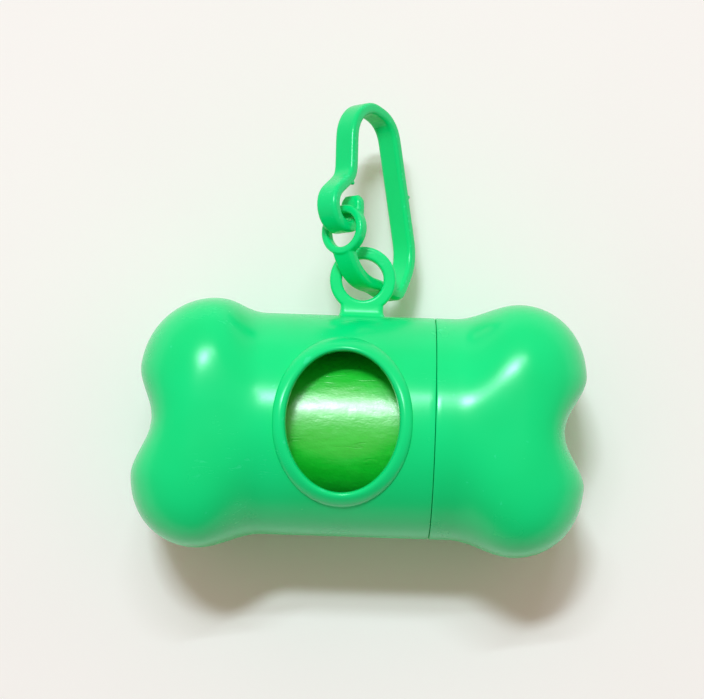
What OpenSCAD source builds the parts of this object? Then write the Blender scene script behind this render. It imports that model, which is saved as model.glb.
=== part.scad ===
// Bone-shaped dispenser for a roll of pet-waste bags, with a screw cap and a snap clip.
// It lies on its back with the window up: +X runs along the bone to the cap, +Y to the eye.
// The origin is on the surface that it lies on, under the middle of the bone.

/* [Bag roll] */
// Outer diameter of a full roll
roll_d = 31; // [24:0.5:34]
// Length of the roll, which is the width of a folded bag
roll_len = 57; // [45:1:65]
// Number of bags on the roll
bag_count = 15; // [8:1:20]
// Outer diameter of the cardboard core
core_d = 14; // [11:0.5:16]
// Wall of the cardboard core
core_wall = 1; // [0.6:0.1:1.5]

/* [Bone] */
// Room between each end of the roll and the tips of the knuckles
end_room = 15; // [14:0.5:20]
// Wall of the moulded halves
wall = 1.6; // [1.2:0.1:2]
// How far the knuckles swell out sideways from the barrel
knuckle_rise = 2.9; // [2:0.1:4]
// How far the knuckles stand proud of the barrel at front and back
knuckle_foot = 0.4; // [0.2:0.1:1]
// Depth of the saddle between the body's two knuckles
body_saddle = 3.3; // [2:0.1:4.4]
// Depth of the saddle between the cap's two knuckles
cap_saddle = 4.3; // [2:0.1:4.4]
// How much further in the body's knuckle stands on the side of the eye
body_slant = 2.4; // [0:0.1:3]
// Length of the rounded tip of a knuckle
tip_len = 13; // [11:0.5:14]
// Length over which the barrel swells into a knuckle
flare_len = 12.5; // [10:0.5:14]
// Width of the end face that the saddle crosses
face_w = 22.4; // [18:0.4:26]
// Height of the end face
face_h = 17.6; // [14:0.4:24]

/* [Screw cap] */
// Place of the seam, measured from the middle of the bone
seam_x = 14.2; // [12:0.1:16]
// Length of the threaded neck
neck_len = 9; // [8:0.5:10]
// Wall of the threaded neck
neck_wall = 1.4; // [1.2:0.1:2]
// Height of a thread ridge
thread_h = 0.6; // [0.4:0.05:0.8]
// Width of a thread ridge at its root
thread_w = 1.5; // [1:0.1:1.8]
// Advance of the cap in one turn
thread_lead = 8; // [7:0.5:10]
// Number of thread starts
thread_starts = 2; // [2:1:2]
// Free play between neck and cap, measured on the radius
thread_play = 0.3; // [0.2:0.05:0.4]
// Open line at the seam
seam_gap = 0.15; // [0.05:0.05:0.3]

/* [Window] */
// Length of the window along the bone
window_len = 20.8; // [14:0.2:24]
// Height of the window across the bone
window_high = 26.8; // [20:0.2:28]
// Place of the window's middle along the bone
window_x = -3; // [-6:0.5:-2]
// Width of the rounded bead round the window
bead_w = 2.3; // [1.6:0.1:2.6]

/* [Eye and clip] */
// Bore of the eye that carries the clip
eye_bore = 8.1; // [8:0.1:8.5]
// Width of the eye's ring
eye_rim = 2.4; // [2:0.1:3]
// Thickness of the eye
eye_thick = 2.8; // [2.4:0.1:3]
// Height of the eye's middle above the barrel
eye_rise = 7.1; // [6.9:0.1:8]
// Width of the eye's foot
eye_foot = 8.4; // [6:0.2:10]
// Reach of the clip's bow from the eye's middle
clip_reach = 34.4; // [34:0.1:35.6]
// Width of the clip's flat strip
strip_w = 4.6; // [3.6:0.1:4.7]
// Thickness of the clip's flat strip
strip_t = 2.2; // [1.6:0.1:2.3]
// Bore of the clip's catch ring
catch_bore = 6.8; // [6.6:0.1:7]
// Width of the catch ring's rim
catch_rim = 1.5; // [1.1:0.1:1.6]
// Turn of the clip about its own length
clip_turn = 53; // [50:1:56]
// Dip of the clip towards the surface
clip_dip = 7; // [4:1:8]

/* [Hidden] */
function bag_node(k) = str("bag_", k < 10 ? "0" : "", k);

case_green = [0.02, 0.72, 0.36];
film_green = [0.03, 0.50, 0.10];
card_brown = [0.62, 0.50, 0.36];

roll_play = 2.1;        // radial play of the roll in the neck
core_fit = 0.05;        // radial fit of the roll on its core
rest_gap = 0.3;         // air under the roll where it rests in the neck
overlap = 0.6;          // how deep joined features sink into each other

roll_r = roll_d / 2;
core_r = core_d / 2;
neck_in_r = roll_r + roll_play;
neck_r = neck_in_r + neck_wall;
cap_in_r = neck_r + thread_h + thread_play;
barrel_r = cap_in_r + wall;
bone_half = roll_len / 2 + end_room;
crest_x = bone_half - tip_len;
flare_x = crest_x - flare_len;
axis_z = barrel_r + knuckle_foot;
roll_drop = neck_in_r - roll_r - rest_gap;

crest_power = 3.2;              // roundness of the section at the knuckles, 2 is an ellipse
slant_power = 1.5;              // how the slant grows across the bone, 1 is evenly
slant_drop = 0.2;               // how far a slanted knuckle also sinks towards the axis, against its shift

facets = 64;
flare_steps = 7;
tip_steps = 8;
face_steps = 3;

$fn = 96;

// ---- The bone's surface ----

function ease(t) = 0.5 - 0.5 * cos(180 * t);
function clamp01(t) = max(0, min(1, t));

// Radius, at an angle, of a rounded square with half sizes a and b.
function squircle(angle, a, b, power) =
    pow(pow(abs(cos(angle)) / a, power) + pow(abs(sin(angle)) / b, power), -1 / power);

// How far the section at x has swollen from barrel (0) to knuckle (1).
function swell(x) = ease(clamp01((abs(x) - flare_x) / flare_len));

// One ring of points round the bone's axis, with half sizes a and b.
function ring_points(x, a, b, power, saddle) = [
    for (i = [0 : facets - 1])
        let (angle = 360 * i / facets,
             r = squircle(angle, a, b, power),
             y = r * cos(angle),
             dip = abs(y) < face_w / 2 ? pow(cos(180 * y / face_w), 2) : 0)
            [x - saddle * dip, y, r * sin(angle)]
];

function barrel_ring(x, inset) =
    let (s = swell(x))
        ring_points(x, barrel_r + knuckle_rise * s - inset, barrel_r + knuckle_foot * s - inset,
                    2 + (crest_power - 2) * s, 0);

// A ring on the rounded tip: u runs from 0 at the knuckle's crest to 1 at the flat face.
function tip_ring(u, inset, saddle) =
    let (a = barrel_r + knuckle_rise - inset,
         b = barrel_r + knuckle_foot - inset)
        ring_points(crest_x + (tip_len - inset) * sin(90 * u),
                    face_w / 2 + (a - face_w / 2) * cos(90 * u),
                    face_h / 2 + (b - face_h / 2) * cos(90 * u),
                    crest_power, saddle * ease(u));

// A ring inside the flat face: v runs from 1 at its edge to 0 in its middle.
function face_ring(v, inset, saddle) =
    ring_points(crest_x + tip_len - inset, face_w / 2 * v, face_h / 2 * v, crest_power, saddle);

// The same points with the knuckle on the side of +Y set further in, the other one left in place.
function slanted(points, slant) = [
    for (p = points)
        let (across = max(0, p[1] + barrel_r) / (2 * barrel_r),
             shift = slant * swell(p[0]) * pow(across, slant_power))
            [p[0] - shift, p[1] - slant_drop * shift, p[2]]
];

// All rings of one wall surface, from the open rim at x = rim_x to the closed end.
function wall_rings(rim_x, inset, saddle) = concat(
    [barrel_ring(rim_x, inset)],
    rim_x < flare_x ? [barrel_ring(flare_x, inset)] : [],
    [for (k = [1 : flare_steps])
        let (from = max(flare_x, rim_x))
            barrel_ring(from + (crest_x - from) * k / flare_steps, inset)],
    [for (k = [1 : tip_steps]) tip_ring(k / tip_steps, inset, saddle)],
    [for (k = [face_steps - 1 : -1 : 1]) face_ring(k / face_steps, inset, saddle)]
);

// Faces between stacked rings of n points each, counted from the given first point.
function skin_faces(rings, n, first = 0) = [
    for (r = [0 : rings - 2], i = [0 : n - 1])
        let (p = first + r * n + i, q = first + r * n + (i + 1) % n)
            each [[p, q + n, q], [p, p + n, q + n]]
];

// Half of the hollow bone along +X, from an open rim at rim_x to its closed, perhaps slanted, end.
module half_shell(rim_x, saddle, slant = 0) {
    outer = wall_rings(rim_x, 0, saddle);
    inner = wall_rings(rim_x, wall, saddle);
    count = len(outer);
    turned = [for (r = [count - 1 : -1 : 0]) inner[r]];
    poles = [[bone_half - saddle, 0, 0], [bone_half - wall - saddle, 0, 0]];
    points = slanted(concat([for (r = outer) each r], [for (r = turned) each r], poles), slant);
    n = facets;
    inner_first = count * n;
    rim_first = (2 * count - 1) * n;
    pole = 2 * count * n;
    ends = [for (i = [0 : n - 1])
        let (j = (i + 1) % n)
            each [[rim_first + i, j, rim_first + j], [rim_first + i, i, j],
                  [inner_first - n + i, pole, inner_first - n + j],
                  [inner_first + j, pole + 1, inner_first + i]]];
    polyhedron(points, concat(skin_faces(count, n), skin_faces(count, n, inner_first), ends), convexity = 6);
}

// ---- Threads ----

// One helical ridge about +X. It sinks into the root radius and stands up to the crest radius.
module thread_ridge(root_r, crest_r, start_x, start_angle, turns) {
    steps = ceil(turns * 40);
    flank = thread_w / 2;
    crest = flank * 0.55;
    points = [for (k = [0 : steps])
        let (angle = start_angle + 360 * turns * k / steps,
             x = start_x + thread_lead * turns * k / steps)
            each [for (c = [[root_r, -flank], [crest_r, -crest], [crest_r, crest], [root_r, flank]])
                [x + c[1], c[0] * cos(angle), c[0] * sin(angle)]]];
    side = [for (k = [0 : steps - 1], i = [0 : 3])
        let (j = (i + 1) % 4, p = 4 * k + i, q = 4 * k + j)
            each crest_r > root_r ? [[p, q, q + 4], [p, q + 4, p + 4]] : [[q, p, p + 4], [q, p + 4, q + 4]]];
    last = 4 * steps;
    ends = crest_r > root_r ? [[3, 2, 1, 0], [last, last + 1, last + 2, last + 3]]
                            : [[0, 1, 2, 3], [last + 3, last + 2, last + 1, last]];
    polyhedron(points, concat(side, ends), convexity = 6);
}

pitch = thread_lead / thread_starts;
thread_margin = 1.4;    // plain stretch before and after the neck's ridges
neck_thread_x = seam_x + thread_margin;
neck_thread_turns = (neck_len - 2 * thread_margin) / thread_lead;
cap_thread_x = neck_thread_x + pitch / 2;
cap_thread_turns = neck_thread_turns - pitch / 2 / thread_lead;
cap_thread_root = cap_in_r + wall * 0.65;

module neck_threads() {
    for (s = [0 : thread_starts - 1])
        thread_ridge(neck_r - overlap, neck_r + thread_h, neck_thread_x, 360 * s / thread_starts,
                     neck_thread_turns);
}

module cap_threads() {
    for (s = [0 : thread_starts - 1])
        thread_ridge(cap_thread_root, cap_in_r - thread_h, cap_thread_x, 360 * s / thread_starts,
                     cap_thread_turns);
}

// ---- Body shell ----

module along_x() {
    rotate([0, 90, 0]) children();
}

module neck() {
    along_x() rotate_extrude() polygon([
        [neck_in_r, seam_x - wall], [cap_in_r + overlap, seam_x - wall], [cap_in_r + overlap, seam_x],
        [neck_r, seam_x], [neck_r, seam_x + neck_len], [neck_in_r, seam_x + neck_len]
    ]);
}

bead_r = bead_w / 2;
window_facets = 48;

// A point on the barrel's surface over the plan position (x, y).
function on_barrel(x, y) = [x, y, sqrt(barrel_r * barrel_r - y * y)];

// Rounded bead: a tube that follows the window's edge on the barrel's surface.
module window_bead() {
    n = 8;
    a = window_len / 2 + bead_r * 0.9;
    b = window_high / 2 + bead_r * 0.9;
    points = [for (k = [0 : window_facets - 1])
        let (t = 360 * k / window_facets,
             middle = on_barrel(window_x + a * cos(t), b * sin(t)),
             normal = [0, middle[1], middle[2]] / barrel_r,
             slope = b * cos(t) * -middle[1] / middle[2],
             along = [-a * sin(t), b * cos(t), slope],
             side = cross(along, normal) / norm(cross(along, normal)))
            each [for (i = [0 : n - 1]) middle + bead_r * (cos(360 * i / n) * normal + sin(360 * i / n) * side)]];
    faces = [for (k = [0 : window_facets - 1], i = [0 : n - 1])
        let (j = (i + 1) % n, k2 = (k + 1) % window_facets)
            each [[k * n + i, k * n + j, k2 * n + j], [k * n + i, k2 * n + j, k2 * n + i]]];
    polyhedron(points, [for (f = faces) [f[2], f[1], f[0]]], convexity = 6);
}

module window_cut() {
    linear_extrude(height = barrel_r + 2 * bead_w)
        polygon([for (k = [0 : window_facets - 1])
            let (t = 360 * (k + 0.5) / window_facets)
                [window_x + window_len / 2 * cos(t), window_high / 2 * sin(t)]]);
}

eye_y = barrel_r + eye_rise;
eye_r = eye_bore / 2 + eye_rim;
eye_round = 1.1;        // rounding of the eye's edges

// Section of a rounded rim between two radii, drawn for turning about an axis.
function rim_section(r_in, r_out, thick, round) = [
    for (corner = [[r_out - round, thick / 2 - round, 0], [r_in + round, thick / 2 - round, 90],
                   [r_in + round, round - thick / 2, 180], [r_out - round, round - thick / 2, 270]],
         a = [0 : 30 : 90])
        [corner[0] + round * cos(corner[2] + a), corner[1] + round * sin(corner[2] + a)]
];

module eye() {
    foot_y = barrel_r - overlap;
    top_y = eye_y - eye_r + eye_rim * 0.7;
    fillet = 0.8;
    translate([0, eye_y, 0]) rotate_extrude() polygon(rim_section(eye_bore / 2, eye_r, eye_thick, eye_round));
    translate([0, 0, -eye_thick / 2]) linear_extrude(height = eye_thick) difference() {
        translate([-eye_foot / 2 - fillet, foot_y]) square([eye_foot + 2 * fillet, top_y - foot_y]);
        for (side = [-1, 1])
            translate([side * (eye_foot / 2 + fillet), barrel_r + fillet]) {
                circle(r = fillet, $fn = 24);
                translate([-fillet, 0]) square([2 * fillet, top_y]);
            }
    }
}

module body_shell() {
    color(case_green) translate([0, 0, axis_z]) {
        difference() {
            union() {
                mirror([1, 0, 0]) half_shell(-seam_x, body_saddle, body_slant);
                window_bead();
            }
            window_cut();
        }
        neck();
        neck_threads();
        eye();
    }
}

// ---- Cap shell ----

module cap_shell() {
    color(case_green) translate([0, 0, axis_z]) {
        half_shell(seam_x + seam_gap, cap_saddle);
        cap_threads();
    }
}

// ---- Snap clip ----

function arc(centre, r, from, to, steps) = [
    for (k = [0 : steps])
        let (a = from + (to - from) * k / steps) centre + r * [cos(a), sin(a)]
];

// Middle line of the strip in the clip's own plane: x across, y along the clip, from the eye's middle.
clip_unit = clip_reach / 34.4;      // 1 where the bow reaches as far as the line is drawn
catch_at = clip_unit * [-6.7, 8.6];
arm_root = [catch_at[0] + 0.2 * clip_unit, catch_at[1] - catch_bore / 2 - catch_rim * 0.4];
drawn_line = concat(
    arc([1.5, 7.9], 8.6, 208, 280, 7),      // short arm, from the catch ring down through the eye
    arc([7.4, 3.4], 5.4, 288, 302, 2),      // bend under the eye
    arc([4.6, 7.2], 9, -30, 15.5, 4),       // foot of the long leg
    arc([1.5, 28], 6, 15, 84, 5),           // bow, far side
    arc([0.2, 27.5], 6.9, 94, 180, 6),      // bow, near side
    arc([-9.7, 20.8], 3.1, 0, -50, 4),      // crook
    arc([-7.9, 13], 4.1, 140, 338, 12),     // hook
    [[-4.2, 15.3], [-4.5, 15.9]]            // tip
);
strip_line = concat([arm_root], [for (p = drawn_line) clip_unit * p]);
strip_round = 0.7;      // rounding of the strip's edges
tip_scale = 0.6;        // size of the tip's end face against the strip

// Section of the strip: x is its thickness, y its width.
strip_section = [
    for (corner = [[1, 1, 0], [-1, 1, 90], [-1, -1, 180], [1, -1, 270]], a = [0 : 45 : 90])
        [corner[0] * (strip_t / 2 - strip_round) + strip_round * cos(corner[2] + a),
         corner[1] * (strip_w / 2 - strip_round) + strip_round * sin(corner[2] + a)]
];

function heading(line, i) =
    let (d = line[min(i + 1, len(line) - 1)] - line[max(i - 1, 0)]) d / norm(d);

module strip() {
    n = len(strip_section);
    count = len(strip_line);
    points = [for (i = [0 : count - 1])
        let (d = heading(strip_line, i), size = i == count - 1 ? tip_scale : 1)
            each [for (s = strip_section)
                [strip_line[i][0] - d[1] * s[0] * size, strip_line[i][1] + d[0] * s[0] * size, s[1] * size]]];
    ends = [[for (i = [0 : n - 1]) i], [for (i = [n - 1 : -1 : 0]) (count - 1) * n + i]];
    polyhedron(points, concat(skin_faces(count, n), ends), convexity = 6);
}

module catch_ring() {
    translate([catch_at[0], catch_at[1], 0]) along_x()
        rotate_extrude($fn = 48)
            polygon(rim_section(catch_bore / 2, catch_bore / 2 + catch_rim, strip_t, 0.5));
}

clip_shift = 0.1;       // set of the strip's middle off the eye's middle, along its width

module snap_clip() {
    color(case_green) translate([0, eye_y, axis_z])
        rotate([-clip_dip, 0, 0]) rotate([0, clip_turn, 0]) translate([0, 0, clip_shift]) {
            strip();
            catch_ring();
        }
}

// ---- Bag roll ----

module tube_x(r_out, r_in, length) {
    along_x() translate([0, 0, -length / 2]) difference() {
        cylinder(r = r_out, h = length);
        translate([0, 0, -1]) cylinder(r = r_in, h = length + 2);
    }
}

module roll_core() {
    color(card_brown) translate([0, 0, axis_z - roll_drop])
        tube_x(core_r, core_r - core_wall, roll_len);
}

// Outer radius of bag k, counted from the outside: every bag takes the same share of film.
wound_r = core_r + core_fit;
function bag_r(k) = sqrt(wound_r * wound_r + (roll_r * roll_r - wound_r * wound_r) * (bag_count + 1 - k) / bag_count);

module bag(k) {
    color(film_green) translate([0, 0, axis_z - roll_drop])
        tube_x(bag_r(k), bag_r(k + 1), roll_len);
}

body_shell();
cap_shell();
snap_clip();
roll_core();
for (k = [1 : bag_count])
    bag(k);
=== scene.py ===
import math

import bpy
from mathutils import Matrix, Vector, noise


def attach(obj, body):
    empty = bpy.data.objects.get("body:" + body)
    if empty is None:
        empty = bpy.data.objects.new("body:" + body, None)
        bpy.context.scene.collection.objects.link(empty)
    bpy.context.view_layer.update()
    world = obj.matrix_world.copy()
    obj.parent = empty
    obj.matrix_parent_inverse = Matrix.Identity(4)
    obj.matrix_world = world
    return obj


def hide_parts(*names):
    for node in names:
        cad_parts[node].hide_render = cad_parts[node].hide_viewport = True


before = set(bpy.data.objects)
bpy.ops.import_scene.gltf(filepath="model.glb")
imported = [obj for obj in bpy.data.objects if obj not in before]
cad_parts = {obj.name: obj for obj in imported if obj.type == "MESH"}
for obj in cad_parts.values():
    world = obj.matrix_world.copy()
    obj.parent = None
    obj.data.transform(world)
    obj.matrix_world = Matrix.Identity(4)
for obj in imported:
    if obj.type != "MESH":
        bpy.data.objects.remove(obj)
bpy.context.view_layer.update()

MM = 0.001

# ---- Sizes of the bone ----

BARREL_R = 21.5         # outside of the round middle
WALL = 1.6
BONE_HALF = 43.5        # from the middle to the tips of the knuckles
TIP_LEN = 13.0          # rounded tip of a knuckle
FLARE_LEN = 12.5        # stretch over which the barrel swells
CREST_X = BONE_HALF - TIP_LEN
FLARE_X = CREST_X - FLARE_LEN
KNUCKLE_RISE = 2.9      # swelling sideways
KNUCKLE_FOOT = 0.4      # swelling at front and back
CREST_POWER = 3.2       # roundness of the knuckles' section
BODY_SADDLE = 3.3       # hollow between the body's two knuckles
CAP_SADDLE = 4.3        # the same between the cap's
BODY_SLANT = 2.4        # how much further in the body's knuckle stands on the eye's side
SLANT_POWER = 1.5       # how the slant grows across the bone
SLANT_DROP = 0.2        # how far that knuckle also sinks towards the axis, against its shift
FACE_W = 22.4           # flat end face
FACE_H = 17.6
AXIS_Z = BARREL_R + KNUCKLE_FOOT    # height of the bone's axis above the table

# ---- Seam, neck and thread ----

SEAM_X = 14.2
SEAM_GAP = 0.09
CAP_EDGE_X = SEAM_X + SEAM_GAP
EDGE_R = 0.25           # rounding of the two edges at the seam
LIP = 0.2               # small chamfers inside the seam
NECK_R = 19.0
NECK_IN_R = 17.6
NECK_END = SEAM_X + 9.0
CAP_IN_R = BARREL_R - WALL
THREAD_H = 0.6
THREAD_W = 1.5
THREAD_ROOT = 0.6       # how deep a ridge sits in its wall
THREAD_LEAD = 8.0
THREAD_STARTS = 2
THREAD_MARGIN = 1.4     # plain neck before and after the thread

# ---- Window ----

WINDOW_X = -3.0
WINDOW_Y = 0.6          # a little nearer the eye than the axis
WINDOW_A = 10.6         # half its length along the bone
WINDOW_B = 13.3         # half its height across the bone
BEAD_HIGH = 0.95        # how far the bead stands up
BEAD_IN = 1.0           # from the window's edge to the bead's crest
BEAD_OUT = 2.4          # from the window's edge to where the bead meets the barrel
BEAD_SUNK = 0.02        # how far its foot dips under the barrel

# ---- Eye and clip ----

EYE_Y = BARREL_R + 7.1
EYE_BORE_R = 4.05
EYE_R = 6.45
EYE_THICK = 2.8
EYE_FOOT = 8.4          # width of the web that carries the eye
EYE_GRAIN = 0.13        # voxel in which ring and web are fused

STRIP_W = 4.6
STRIP_T = 2.2
CATCH_AT = (-6.7, 8.6)  # in the clip's own plane, measured from the middle of the eye
CATCH_BORE_R = 3.4
CATCH_RIM = 1.5
CLIP_TURN = 53          # degrees about the clip's length
CLIP_DIP = 7            # degrees from lying level
CLIP_SHIFT = 0.1
LINE_STEP = 0.3         # spacing of the points on the clip's line
NUB_R = 0.45
CLIP_GRAIN = 0.15

# ---- Roll ----

ROLL_R = 15.5
ROLL_LEN = 57.0
ROLL_AXIS_Z = AXIS_Z - 1.8
BAG_COUNT = 15
CORE_R = 7.0
CORE_GAP = 0.05         # between the core and the innermost bag

ROUND = 160             # vertices round the bone


# ---- Making pieces ----

def deselect():
    if bpy.context.object and bpy.context.object.mode == "EDIT":
        bpy.ops.object.mode_set(mode="OBJECT")
    bpy.ops.object.select_all(action="DESELECT")


def make_active(piece):
    deselect()
    piece.select_set(True)
    bpy.context.view_layer.objects.active = piece


def edit(piece):
    make_active(piece)
    bpy.ops.object.mode_set(mode="EDIT")


def pick(piece, wanted):
    """Selects the piece's vertices whose number passes, with the edges and faces between them."""
    bpy.ops.mesh.select_all(action="DESELECT")
    bpy.ops.object.mode_set(mode="OBJECT")
    mesh = piece.data
    for vertex in mesh.vertices:
        vertex.select = wanted(vertex.index)
    for edge in mesh.edges:
        edge.select = all(mesh.vertices[i].select for i in edge.vertices)
    bpy.ops.object.mode_set(mode="EDIT")


def apply(piece, kind, **settings):
    make_active(piece)
    modifier = piece.modifiers.new(kind.lower(), kind)
    for key, value in settings.items():
        setattr(modifier, key, value)
    bpy.ops.object.modifier_apply(modifier=modifier.name)


def loft(name, rings, ends="filled"):
    """Extrudes a circle of vertices once for every ring and sets each ring in its place, in mm.
    The ends are filled, or left as poles that merge, or joined to each other."""
    around = len(rings[0])
    deselect()
    bpy.ops.mesh.primitive_circle_add(vertices=around, radius=MM)
    piece = bpy.context.object
    piece.name = name
    bpy.ops.object.mode_set(mode="EDIT")
    for _ in rings[1:]:
        bpy.ops.mesh.extrude_edges_move()
    bpy.ops.object.mode_set(mode="OBJECT")
    places = [place for ring in rings for place in ring]
    for vertex, place in zip(piece.data.vertices, places):
        vertex.co = Vector(place) * MM
    last = around * (len(rings) - 1)
    edit(piece)
    if ends == "joined":
        pick(piece, lambda i: i < around or i >= last)
        bpy.ops.mesh.bridge_edge_loops()
    if ends == "filled":
        pick(piece, lambda i: i < around)
        bpy.ops.mesh.edge_face_add()
        pick(piece, lambda i: i >= last)
        bpy.ops.mesh.edge_face_add()
    bpy.ops.mesh.select_all(action="SELECT")
    bpy.ops.mesh.remove_doubles(threshold=0.002 * MM)
    bpy.ops.mesh.normals_make_consistent(inside=False)
    bpy.ops.object.mode_set(mode="OBJECT")
    return piece


def join(name, pieces):
    deselect()
    for piece in pieces:
        piece.select_set(True)
    bpy.context.view_layer.objects.active = pieces[0]
    bpy.ops.object.join()
    pieces[0].name = name
    return pieces[0]


def melt_together(piece, grain, passes):
    """Fuses crossing shapes into one moulding with soft inner corners."""
    apply(piece, "REMESH", mode="VOXEL", voxel_size=grain * MM, use_smooth_shade=True)
    apply(piece, "SMOOTH", factor=0.5, iterations=passes)


def smooth(piece, angle=35):
    make_active(piece)
    bpy.ops.object.shade_smooth_by_angle(angle=math.radians(angle))


def finish(piece, body, slot, material, *nodes):
    piece.data.materials.clear()
    piece.data.materials.append(material)
    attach(piece, body)
    if nodes:
        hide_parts(*nodes)


# ---- The bone's surface ----

def ease(t):
    return 0.5 - 0.5 * math.cos(math.pi * t)


def swell(x):
    return ease(max(0.0, min(1.0, (abs(x) - FLARE_X) / FLARE_LEN)))


def section(x, half_w, half_h, power=2.0, saddle=0.0):
    """One ring round the bone's axis: a rounded square that sinks between the knuckles."""
    ring = []
    for i in range(ROUND):
        angle = 2 * math.pi * i / ROUND
        c, s = math.cos(angle), math.sin(angle)
        r = (abs(c / half_w) ** power + abs(s / half_h) ** power) ** (-1 / power)
        y = r * c
        dip = math.cos(math.pi * y / FACE_W) ** 2 if abs(y) < FACE_W / 2 else 0.0
        ring.append((x - saddle * dip, y, r * s + AXIS_Z))
    return ring


def barrel(x, inset):
    s = swell(x)
    return section(x, BARREL_R + KNUCKLE_RISE * s - inset, BARREL_R + KNUCKLE_FOOT * s - inset,
                   2 + (CREST_POWER - 2) * s)


def tip(u, inset, saddle):
    """A ring on a knuckle's rounded tip, from 0 at its crest to 1 at the flat face."""
    turn = math.pi / 2 * u
    wide = FACE_W / 2 + (BARREL_R + KNUCKLE_RISE - inset - FACE_W / 2) * math.cos(turn)
    high = FACE_H / 2 + (BARREL_R + KNUCKLE_FOOT - inset - FACE_H / 2) * math.cos(turn)
    return section(CREST_X + (TIP_LEN - inset) * math.sin(turn), wide, high, CREST_POWER,
                   saddle * ease(u))


def face(v, inset, saddle):
    return section(BONE_HALF - inset, FACE_W / 2 * v, FACE_H / 2 * v, CREST_POWER, saddle)


def steps(start, end, count):
    return [start + (end - start) * k / count for k in range(1, count + 1)]


def slanted(rings, slant):
    """The same rings with the knuckle on the eye's side set further in, the other left in place."""
    moved = []
    for ring in rings:
        row = []
        for x, y, z in ring:
            across = max(0.0, y + BARREL_R) / (2 * BARREL_R)
            shift = slant * swell(x) * across ** SLANT_POWER
            row.append((x - shift, y - SLANT_DROP * shift, z))
        moved.append(row)
    return moved


def closed_end(inset, rim_x, detail, saddle):
    """Rings from the pole of an end face out to the rim."""
    pole = [(BONE_HALF - inset - saddle, 0.0, AXIS_Z)] * ROUND
    rings = [pole]
    rings += [face(k / detail, inset, saddle) for k in range(1, detail)]
    rings += [tip(1 - k / (4 * detail), inset, saddle) for k in range(4 * detail + 1)]
    rings += [barrel(x, inset) for x in steps(CREST_X, max(FLARE_X, rim_x), 3 * detail)]
    if rim_x < FLARE_X:
        count = math.ceil((FLARE_X - rim_x) / 1.1)
        rings += [barrel(x, inset) for x in steps(FLARE_X, rim_x, count)]
    return rings


def lathe(profile):
    return [section(x, r, r) for x, r in profile]


def corner(x, r, radius, start, count=4):
    """Quarter of a rounded edge in the plane of x and radius. It starts at an angle in degrees."""
    turns = [math.radians(start - 90 * k / count) for k in range(count + 1)]
    return [(x + radius * math.cos(a), r + radius * math.sin(a)) for a in turns]


def mirrored(rings):
    return [[(-x, y, z) for x, y, z in ring] for ring in rings]


# ---- Threads ----

def thread(name, root_r, crest_r, start_x, start_angle, turns):
    """One helical ridge that rises out of the wall at its start and sinks back at its end."""
    flank = THREAD_W / 2
    crest = flank * 0.5
    count = math.ceil(turns * 72)
    rings = []
    for k in range(count + 1):
        share = k / count
        height = min(1.0, min(share, 1 - share) * 14)
        top = root_r + (crest_r - root_r) * math.sin(math.pi / 2 * height)
        angle = math.radians(start_angle + 360 * turns * share)
        x = start_x + THREAD_LEAD * turns * share
        profile = [(root_r, -flank), (top, -crest), (top, crest), (root_r, flank)]
        rings.append([(x + dx, r * math.cos(angle), r * math.sin(angle) + AXIS_Z) for r, dx in profile])
    ridge = loft(name, rings)
    apply(ridge, "BEVEL", width=0.18 * MM, segments=2, limit_method="ANGLE", angle_limit=math.radians(40))
    return ridge


# ---- Body of the case ----

def body_rings():
    rings = mirrored(slanted(closed_end(0, -SEAM_X + EDGE_R, 5, BODY_SADDLE), BODY_SLANT))
    profile = corner(SEAM_X - EDGE_R, BARREL_R - EDGE_R, EDGE_R, 90)
    profile += [(SEAM_X, CAP_IN_R), (SEAM_X, NECK_R + LIP), (SEAM_X + LIP, NECK_R)]
    profile += [(x, NECK_R) for x in steps(SEAM_X + LIP, NECK_END - 0.5, 6)]
    profile += corner(NECK_END - 0.5, NECK_R - 0.5, 0.5, 90)
    profile += corner(NECK_END - 0.4, NECK_IN_R + 0.4, 0.4, 0)
    profile += [(x, NECK_IN_R) for x in steps(NECK_END - 0.4, SEAM_X - WALL + 0.3, 6)]
    profile += [(SEAM_X - WALL, NECK_IN_R + 0.3), (SEAM_X - WALL, CAP_IN_R)]
    rings += lathe(profile)
    inside = mirrored(slanted(closed_end(WALL, -SEAM_X + WALL, 4, BODY_SADDLE), BODY_SLANT))
    return rings + inside[::-1][1:]


def over_window(angle, grow, lift):
    """A point by the window's edge: grow mm outwards in plan and lift mm above the barrel."""
    slope = abs(math.sin(angle)) * WINDOW_B / BARREL_R
    spread = grow * (1 + 0.22 * slope) if grow > 0 else grow
    x = WINDOW_X + (WINDOW_A + spread) * math.cos(angle)
    y = WINDOW_Y + (WINDOW_B + spread) * math.sin(angle)
    return (x, y, AXIS_Z + math.sqrt((BARREL_R + lift) ** 2 - y * y))


def window_collar():
    """The half-round bead round the window and the cut wall under it, as one ring that closes on
    itself inside the barrel's wall."""
    turns = [math.pi / 2 * k / 8 for k in range(9)]
    rise = [(BEAD_IN * (1 - math.cos(a)), BEAD_HIGH * math.sin(a)) for a in turns]
    fall = [(BEAD_IN + (BEAD_OUT - BEAD_IN) * math.sin(a), BEAD_HIGH * math.cos(a) - BEAD_SUNK)
            for a in turns[1:]]
    under = -WALL - 0.02
    profile = [(-0.10, 0.15 - WALL), (0.05, under), (1.6, under), (BEAD_OUT + 0.2, -0.4)]
    profile += fall[::-1] + rise[::-1]
    profile += [(-0.06, -0.3 * WALL)]
    count = 144
    rings = [[over_window(2 * math.pi * k / count, grow, lift) for grow, lift in profile]
             for k in range(count)]
    return loft("window_collar", rings, "joined")


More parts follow.
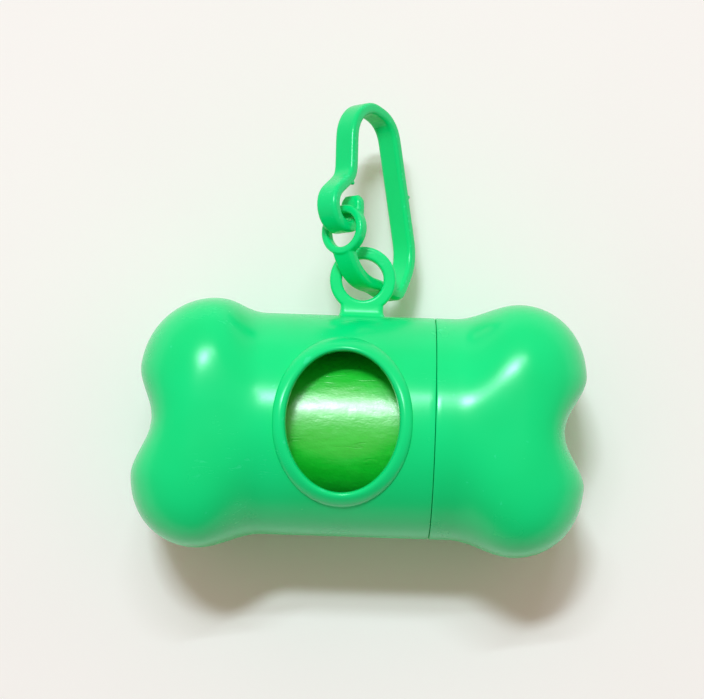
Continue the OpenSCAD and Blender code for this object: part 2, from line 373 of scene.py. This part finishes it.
def cut_window(shell):
    """The hole's own rim stays hidden under the bead."""
    deselect()
    place = Vector((WINDOW_X, WINDOW_Y, AXIS_Z + BARREL_R)) * MM
    under_bead = 0.9
    bpy.ops.mesh.primitive_cylinder_add(vertices=96, radius=1, depth=30 * MM, location=place)
    cutter = bpy.context.object
    cutter.scale = ((WINDOW_A + under_bead) * MM, (WINDOW_B + under_bead) * MM, 1)
    apply(shell, "BOOLEAN", operation="DIFFERENCE", object=cutter, solver="EXACT")
    bpy.data.objects.remove(cutter)


def rounded_box_ring(half_w, half_h, radius, place, count=5):
    """A rounded rectangle of points, each put in space by place(across, up)."""
    ring = []
    for sx, sy, start in ((1, 1, 0), (-1, 1, 90), (-1, -1, 180), (1, -1, 270)):
        for k in range(count + 1):
            a = math.radians(start + 90 * k / count)
            ring.append(place(sx * (half_w - radius) + radius * math.cos(a),
                              sy * (half_h - radius) + radius * math.sin(a)))
    return ring


def eye():
    """A ring and the web under it, which widens and thickens towards the barrel."""
    middle = (EYE_R + EYE_BORE_R) / 2
    rim = (EYE_R - EYE_BORE_R) / 2
    rings = []
    for k in range(72):
        a = 2 * math.pi * k / 72

        def on_ring(across, up, a=a):
            r = middle + across
            return (r * math.cos(a), EYE_Y + r * math.sin(a), AXIS_Z + up)

        rings.append(rounded_box_ring(rim, EYE_THICK / 2, 0.55, on_ring))
    ring = loft("eye_ring", rings, "joined")
    top_y = EYE_Y - EYE_R + 1.6
    foot_y = BARREL_R - 0.5
    rings = []
    for k in range(13):
        y = top_y + (foot_y - top_y) * k / 12
        near = max(0.0, 1 - (y - BARREL_R + 0.1) / 1.2)
        flare = 0.35 * near ** 2.2
        lean = 0.046 * (top_y - y) ** 2
        half_w = EYE_FOOT / 2 + flare
        half_h = EYE_THICK / 2 + lean + flare * 0.8

        def on_web(across, up, y=y):
            return (across, y, AXIS_Z + up)

        rings.append(rounded_box_ring(half_w, half_h, 0.9, on_web))
    web = loft("eye_web", rings)
    whole = join("hanging_eye", [ring, web])
    melt_together(whole, EYE_GRAIN, 4)
    return whole


# ---- Snap clip ----

def arc(centre, r, start, end, count):
    turns = [math.radians(start + (end - start) * k / count) for k in range(count + 1)]
    return [(centre[0] + r * math.cos(a), centre[1] + r * math.sin(a)) for a in turns]


def even_line(points, spacing, passes):
    """The same line with evenly spaced points, its corners eased."""
    line = [Vector(p) for p in points]
    out = [line[0]]
    for a, b in zip(line, line[1:]):
        count = max(1, round((b - a).length / spacing))
        out += [a + (b - a) * k / count for k in range(1, count + 1)]
    for _ in range(passes):
        out = [out[0]] + [(a + 2 * b + c) / 4 for a, b, c in zip(out, out[1:], out[2:])] + [out[-1]]
    return out


def clip_line():
    """The middle of the strip in the clip's own plane, from the catch round to the tip of the hook."""
    arm_root = (CATCH_AT[0] + 0.2, CATCH_AT[1] - CATCH_BORE_R - 0.4 * CATCH_RIM)
    line = [arm_root]
    line += arc((1.5, 7.9), 8.6, 208, 280, 16)      # short arm, down through the eye
    line += arc((7.4, 3.4), 5.4, 288, 302, 4)       # bend under the eye
    line += arc((4.6, 7.2), 9.0, -30, 15.5, 10)     # foot of the long leg
    line += arc((1.5, 28.0), 6.0, 15, 84, 14)       # bow
    line += arc((0.2, 27.5), 6.9, 94, 180, 16)
    line += arc((-9.7, 20.8), 3.1, 0, -50, 8)       # crook
    line += arc((-7.9, 13.0), 4.1, 140, 338, 30)    # hook
    line += [(-4.2, 15.3), (-4.5, 15.9)]
    return even_line(line, LINE_STEP, 16)


def clip_place():
    dip = Matrix.Rotation(math.radians(-CLIP_DIP), 4, "X")
    turn = dip @ Matrix.Rotation(math.radians(CLIP_TURN), 4, "Y")
    return Matrix.Translation((0, EYE_Y, AXIS_Z)) @ turn @ Matrix.Translation((0, 0, CLIP_SHIFT))


def clip():
    place = clip_place()
    line = clip_line()
    rings = []
    for i, point in enumerate(line):
        ahead = (line[min(i + 1, len(line) - 1)] - line[max(i - 1, 0)]).normalized()
        left = len(line) - 1 - i
        size = 1 if left > 4 else 0.6 + 0.4 * math.sin(math.pi / 2 * left / 5)

        def on_strip(thick, wide, point=point, ahead=ahead, size=size):
            return place @ Vector((point.x - ahead.y * thick * size,
                                   point.y + ahead.x * thick * size,
                                   wide * size))

        rings.append(rounded_box_ring(STRIP_T / 2, STRIP_W / 2, 0.72, on_strip))
    strip = loft("clip_strip", rings)
    rings = []
    for k in range(64):
        a = 2 * math.pi * k / 64

        def on_catch(across, along, a=a):
            r = CATCH_BORE_R + CATCH_RIM / 2 + across
            return place @ Vector((CATCH_AT[0] + along, CATCH_AT[1] + r * math.cos(a), r * math.sin(a)))

        rings.append(rounded_box_ring(CATCH_RIM / 2, STRIP_T / 2, 0.5, on_catch))
    catch = loft("clip_catch", rings, "joined")
    nubs = []       # small marks left by the mould
    for step, side, wide in ((126, -1, 1.8), (262, 1, 1.8)):
        point = line[step]
        ahead = (line[step + 1] - line[step - 1]).normalized()
        at = place @ Vector((point.x - ahead.y * side * STRIP_T / 2,
                             point.y + ahead.x * side * STRIP_T / 2,
                             wide))
        deselect()
        bpy.ops.mesh.primitive_ico_sphere_add(subdivisions=3, radius=NUB_R * MM, location=at * MM)
        nubs.append(bpy.context.object)
        make_active(nubs[-1])
        bpy.ops.object.transform_apply(location=True, rotation=True, scale=True)
    whole = join("snap_clip_moulding", [strip, catch] + nubs)
    melt_together(whole, CLIP_GRAIN, 4)
    return whole


# ---- Bag roll ----

def bag_film():
    """The outermost bag: thin film wound tight, with fine wrinkles that run along the roll."""
    around = 320
    half = ROLL_LEN / 2
    first_r = CORE_R + CORE_GAP
    under_r = math.sqrt(first_r ** 2 + (ROLL_R ** 2 - first_r ** 2) * (BAG_COUNT - 1) / BAG_COUNT)

    def ring(x, r, depth):
        points = []
        for i in range(around):
            a = 2 * math.pi * i / around
            y, z = math.cos(a), math.sin(a)
            crease = noise.noise(Vector((x * 0.12, y * 9, z * 9)))
            fold = noise.noise(Vector((x * 0.3 + 9, y * 4, z * 4)))
            rr = r - depth * (0.5 + 0.5 * crease) - depth * (0.5 + 0.5 * fold)
            points.append((x, rr * y, rr * z + ROLL_AXIS_Z))
        return points

    rings = [ring(-half, under_r + 0.05, 0), ring(-half, ROLL_R - 0.1, 0.03)]
    rings += [ring(x, ROLL_R, 0.03) for x in [-half + 0.15] + steps(-half + 0.15, half - 0.15, 56)]
    rings += [ring(half, ROLL_R - 0.1, 0.03), ring(half, under_r + 0.05, 0)]
    return loft("bag_film_outer", rings, "joined")


# ---- Materials ----

class Paint:
    """A material whose nodes are added one by one. Patterns are read in the object's own space."""

    def __init__(self, name, **shader):
        self.material = bpy.data.materials.new(name)
        self.material.use_nodes = True
        self.tree = self.material.node_tree
        self.shader = next(n for n in self.tree.nodes if n.type == "BSDF_PRINCIPLED")
        for socket, value in shader.items():
            self.shader.inputs[socket.replace("_", " ")].default_value = value
        self.place = self.node("ShaderNodeTexCoord").outputs["Object"]

    def node(self, kind, settings=(), **inputs):
        made = self.tree.nodes.new(kind)
        for key, value in dict(settings).items():
            setattr(made, key, value)
        for socket, value in inputs.items():
            target = made.inputs[int(socket[1:])] if socket[0] == "i" and socket[1:].isdigit() \
                else made.inputs[socket.replace("_", " ")]
            if isinstance(value, bpy.types.NodeSocket):
                self.tree.links.new(value, target)
            else:
                target.default_value = value
        return made

    def link(self, value, socket):
        self.tree.links.new(value, self.shader.inputs[socket])

    def stretched(self, scale):
        return self.node("ShaderNodeMapping", Vector=self.place, Scale=scale).outputs[0]

    def cloud(self, scale, detail=2.0, rough=0.5, at=None):
        return self.node("ShaderNodeTexNoise", Vector=at or self.place, Scale=scale, Detail=detail,
                         Roughness=rough).outputs["Fac"]

    def ramp(self, value, *stops):
        made = self.node("ShaderNodeValToRGB", Fac=value)
        elements = made.color_ramp.elements
        while len(elements) < len(stops):
            elements.new(0.5)
        for element, (place, colour) in zip(elements, stops):
            element.position = place
            element.color = colour if len(colour) == 4 else (*colour, 1)
        return made.outputs["Color"]

    def grey(self, value, *stops):
        return self.ramp(value, *[(place, (level,) * 3) for place, level in stops])

    def maths(self, operation, a, b=0.0):
        return self.node("ShaderNodeMath", {"operation": operation}, i0=a, i1=b).outputs[0]

    def mix(self, share, a, b):
        made = self.node("ShaderNodeMix", {"data_type": "RGBA"})
        for socket, value in ((0, share), (6, a), (7, b)):
            if isinstance(value, bpy.types.NodeSocket):
                self.tree.links.new(value, made.inputs[socket])
            else:
                made.inputs[socket].default_value = value
        return made.outputs[2]

    def bump(self, height, distance, strength=1.0, under=None):
        made = self.node("ShaderNodeBump", Height=height, Distance=distance, Strength=strength)
        if under:
            self.tree.links.new(under, made.inputs["Normal"])
        return made.outputs[0]


def moulded_plastic(name, deep, bright, edge):
    """Glossy moulded plastic: slow changes of tone, faint sink marks, fine grain, small scuffs, dust."""
    paint = Paint(name, IOR=1.46, Specular_IOR_Level=0.48, Specular_Tint=(0.68, 1, 0.88, 1))
    tone = paint.grey(paint.cloud(45, 2), (0.35, 0), (0.68, 1))
    colour = paint.mix(tone, (*deep, 1), (*bright, 1))
    wear = paint.grey(paint.node("ShaderNodeNewGeometry").outputs["Pointiness"], (0.52, 0), (0.57, 0.4))
    colour = paint.mix(wear, colour, (*edge, 1))
    dust = paint.grey(paint.cloud(560, 1), (0.76, 0), (0.80, 0.4))
    colour = paint.mix(dust, colour, (*edge, 1))
    where = paint.grey(paint.cloud(70, 1), (0.62, 0), (0.68, 1))
    strokes = paint.grey(paint.cloud(1, 3, 0.7, paint.stretched((260, 1400, 1400))), (0.60, 0), (0.68, 1))
    scuffs = paint.maths("MULTIPLY", where, strokes)
    paint.link(paint.mix(paint.maths("MULTIPLY", scuffs, 0.35), colour, (*edge, 1)), "Base Color")
    patches = paint.grey(paint.cloud(140, 4), (0.3, 0.22), (0.7, 0.28))
    paint.link(paint.mix(scuffs, patches, (0.42, 0.42, 0.42, 1)), "Roughness")
    sinks = paint.bump(paint.cloud(75, 1), 0.00005)
    grain = paint.bump(paint.cloud(1700, 2), 0.000003, under=sinks)
    paint.link(paint.bump(scuffs, -0.00001, under=grain), "Normal")
    return paint.material


def wrinkled_film():
    """Thin polyethylene, wound tight: a broad pale shine, fine wrinkles, a few slanting creases, whose
    lines carry painted shade as a darker green.
    """
    paint = Paint("bag_film", IOR=1.6, Specular_IOR_Level=1.0, Coat_Weight=1.0, Coat_Roughness=0.27)
    wrinkles = paint.cloud(1, 3, 0.6, paint.stretched((330, 800, 800)))
    tone = paint.grey(paint.cloud(1, 3, 0.6, paint.stretched((60, 260, 260))), (0.3, 0), (0.7, 1))
    colour = paint.mix(tone, (0.0, 0.60, 0.020, 1), (0.003, 0.72, 0.036, 1))
    slanting = paint.node("ShaderNodeMapping", Vector=paint.place, Rotation=(0.3, 0.2, 1.1),
                          Scale=(90, 300, 260)).outputs[0]
    ridge = paint.maths("ABSOLUTE", paint.maths("SUBTRACT", paint.cloud(1, 2, 0.5, slanting), 0.5))
    lines = paint.grey(ridge, (0.0, 1), (0.02, 0))
    few = paint.grey(paint.cloud(150, 1), (0.55, 0), (0.65, 1))
    creases = paint.maths("MULTIPLY", lines, few)
    # painted shade: the crease lines are painted a darker green, as if shaded in their folds
    colour = paint.mix(paint.maths("MULTIPLY", creases, 0.25), colour, (0.01, 0.35, 0.02, 1))
    paint.link(colour, "Base Color")
    paint.link(paint.grey(wrinkles, (0.3, 0.34), (0.7, 0.48)), "Roughness")
    folded = paint.bump(creases, -0.00003)
    crumpled = paint.bump(paint.cloud(320, 3, 0.6), 0.00012, under=folded)
    paint.link(paint.bump(wrinkles, 0.00007, under=crumpled), "Normal")
    return paint.material


def wound_film():
    """The bags inside the roll: on the ends, the edges of the wound film show as fine rings."""
    paint = Paint("bag_film_wound", Roughness=0.4, IOR=1.5)
    parts = paint.node("ShaderNodeSeparateXYZ", Vector=paint.place).outputs
    up = paint.maths("SUBTRACT", parts[2], ROLL_AXIS_Z * MM)
    flat = paint.node("ShaderNodeCombineXYZ", X=0.0, Y=parts[1], Z=up).outputs[0]
    radius = paint.node("ShaderNodeVectorMath", {"operation": "LENGTH"}, i0=flat).outputs["Value"]
    angle = paint.maths("ARCTAN2", up, parts[1])
    wobble = paint.maths("MULTIPLY", paint.cloud(160, 2), 0.0005)
    turns = paint.maths("MULTIPLY", paint.maths("ADD", radius, wobble), 2 * math.pi / 0.00028)
    layers = paint.maths("SINE", paint.maths("ADD", turns, angle))
    lines = paint.grey(paint.maths("MULTIPLY_ADD", layers, 0.5), (0.0, 0), (1.0, 1))
    colour = paint.mix(lines, (0.004, 0.22, 0.012, 1), (0.03, 0.46, 0.045, 1))
    paint.link(colour, "Base Color")
    paint.link(paint.bump(lines, 0.00003), "Normal")
    return paint.material


def wound_card():
    """Plain grey-brown card wound in a spiral, with fibres and a darker seam."""
    paint = Paint("core_card", IOR=1.45)
    parts = paint.node("ShaderNodeSeparateXYZ", Vector=paint.place).outputs
    up = paint.maths("SUBTRACT", parts[2], ROLL_AXIS_Z * MM)
    angle = paint.maths("DIVIDE", paint.maths("ARCTAN2", up, parts[1]), 2 * math.pi)
    along = paint.maths("DIVIDE", parts[0], 0.022)
    seam = paint.maths("FRACT", paint.maths("ADD", along, angle))
    seam_line = paint.grey(seam, (0.0, 1), (0.03, 0), (0.97, 0), (1.0, 1))
    fibres = paint.cloud(1, 5, 0.7, paint.stretched((900, 300, 300)))
    colour = paint.ramp(fibres, (0.3, (0.30, 0.21, 0.13)), (0.7, (0.47, 0.35, 0.23)))
    colour = paint.mix(seam_line, colour, (0.16, 0.11, 0.07, 1))
    paint.link(colour, "Base Color")
    paint.link(paint.grey(fibres, (0.3, 0.8), (0.7, 0.95)), "Roughness")
    pressed = paint.bump(seam_line, -0.00015)
    paint.link(paint.bump(fibres, 0.00006, under=pressed), "Normal")
    return paint.material


def table_top():
    paint = Paint("pale_table", Roughness=0.85)
    tone = paint.ramp(paint.cloud(12, 3), (0.3, (0.86, 0.85, 0.87)), (0.7, (0.88, 0.87, 0.89)))
    paint.link(tone, "Base Color")
    return paint.material


# ---- Camera, light and floor ----

def set_camera():
    distance, across, down = 409.0, -1.17, 14.96
    turn = Matrix.Rotation(math.radians(2.8), 3, "X") @ Matrix.Rotation(math.radians(1.9), 3, "Z")
    place = turn @ Vector((across, down, distance)) + Vector((0, 0, AXIS_Z))
    deselect()
    bpy.ops.object.camera_add(location=place * MM, rotation=turn.to_euler())
    camera = bpy.context.object
    camera.data.sensor_width = 36
    camera.data.lens = 107.4
    bpy.context.scene.camera = camera


def set_lamp(name, towards, distance, wide, high, power, colour):
    ray = Vector(towards).normalized()
    deselect()
    bpy.ops.object.light_add(type="AREA", location=ray * distance + Vector((0, 0, AXIS_Z * MM)),
                             rotation=ray.to_track_quat("Z", "Y").to_euler())
    lamp = bpy.context.object
    lamp.name = name
    lamp.data.shape = "RECTANGLE"
    lamp.data.size = wide
    lamp.data.size_y = high
    lamp.data.energy = power
    lamp.data.color = colour


def set_floor():
    deselect()
    bpy.ops.mesh.primitive_grid_add(x_subdivisions=4, y_subdivisions=4, size=4)
    floor = bpy.context.object
    floor.name = "floor"
    floor.data.materials.append(table_top())


def set_world(near, far):
    """Soft light from all round, somewhat stronger on the eye's side."""
    world = bpy.data.worlds.new("room")
    bpy.context.scene.world = world
    world.use_nodes = True
    background = world.node_tree.nodes["Background"]
    background.inputs["Color"].default_value = (1, 0.74, 0.60, 1)
    nodes = world.node_tree.nodes
    links = world.node_tree.links
    direction = nodes.new("ShaderNodeSeparateXYZ")
    links.new(nodes.new("ShaderNodeTexCoord").outputs["Generated"], direction.inputs[0])
    level = nodes.new("ShaderNodeMapRange")
    for socket, value in (("From Min", -1), ("From Max", 1), ("To Min", near), ("To Max", far)):
        level.inputs[socket].default_value = value
    links.new(direction.outputs["Y"], level.inputs["Value"])
    links.new(level.outputs[0], background.inputs["Strength"])


bpy.context.scene.view_settings.view_transform = "Standard"
set_camera()
set_lamp("key", (-0.14, 0.46, 1), 3.0, 0.50, 0.20, 40, (0.84, 0.98, 1))
set_lamp("strip", (-0.10, 0.58, 1), 3.0, 1.40, 0.07, 27, (0.84, 0.98, 1))
set_floor()
set_world(0.30, 0.74)

# ---- The pieces ----

case_plastic = moulded_plastic("case_plastic", (0.0, 0.69, 0.205), (0.0, 0.76, 0.24), (0.04, 0.85, 0.42))
clip_plastic = moulded_plastic("clip_plastic", (0.0, 0.66, 0.19), (0.0, 0.73, 0.225), (0.04, 0.83, 0.40))

neck_thread_x = SEAM_X + THREAD_MARGIN
neck_turns = (NECK_END - SEAM_X - 2 * THREAD_MARGIN) / THREAD_LEAD
cap_thread_x = SEAM_X + THREAD_MARGIN + THREAD_LEAD / THREAD_STARTS / 2
cap_turns = (NECK_END - SEAM_X - 2 * THREAD_MARGIN - THREAD_LEAD / THREAD_STARTS / 2) / THREAD_LEAD
thread_starts = [360 * s / THREAD_STARTS for s in range(THREAD_STARTS)]

case_body = loft("case_body", body_rings(), "poles")
cut_window(case_body)
collar = window_collar()
hanging_eye = eye()
ridges = [thread("neck_ridge", NECK_R - THREAD_ROOT, NECK_R + THREAD_H, neck_thread_x, start, neck_turns)
          for start in thread_starts]
case_body = join("case_body", [case_body, collar, hanging_eye] + ridges)
smooth(case_body)
finish(case_body, "case", "case_plastic", case_plastic, "body_shell")

turn_x = CAP_EDGE_X + EDGE_R
cap_rings = closed_end(0, turn_x, 5, CAP_SADDLE)
cap_rings += lathe([(2 * turn_x - x, r) for x, r in corner(turn_x, BARREL_R - EDGE_R, EDGE_R, 90)])
cap_rings += lathe([(CAP_EDGE_X, CAP_IN_R + LIP), (CAP_EDGE_X + LIP, CAP_IN_R)])
cap_rings += closed_end(WALL, CAP_EDGE_X + 0.3, 4, CAP_SADDLE)[::-1]
screw_cap = loft("screw_cap", cap_rings, "poles")
ridges = [thread("cap_ridge", CAP_IN_R + THREAD_ROOT, CAP_IN_R - THREAD_H, cap_thread_x, start, cap_turns)
          for start in thread_starts]
screw_cap = join("screw_cap", [screw_cap] + ridges)
smooth(screw_cap)
finish(screw_cap, "cap", "case_plastic", case_plastic, "cap_shell")

snap_clip = clip()
smooth(snap_clip, 60)
finish(snap_clip, "clip", "clip_plastic", clip_plastic, "snap_clip")

film = bag_film()
smooth(film)
finish(film, "roll", "bag_film", wrinkled_film(), "bag_01")

inner_film = wound_film()
for k in range(2, BAG_COUNT + 1):
    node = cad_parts[f"bag_{k:02d}"]
    node.data.materials.clear()
    node.data.materials.append(inner_film)
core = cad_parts["roll_core"]
core.data.materials.clear()
core.data.materials.append(wound_card())
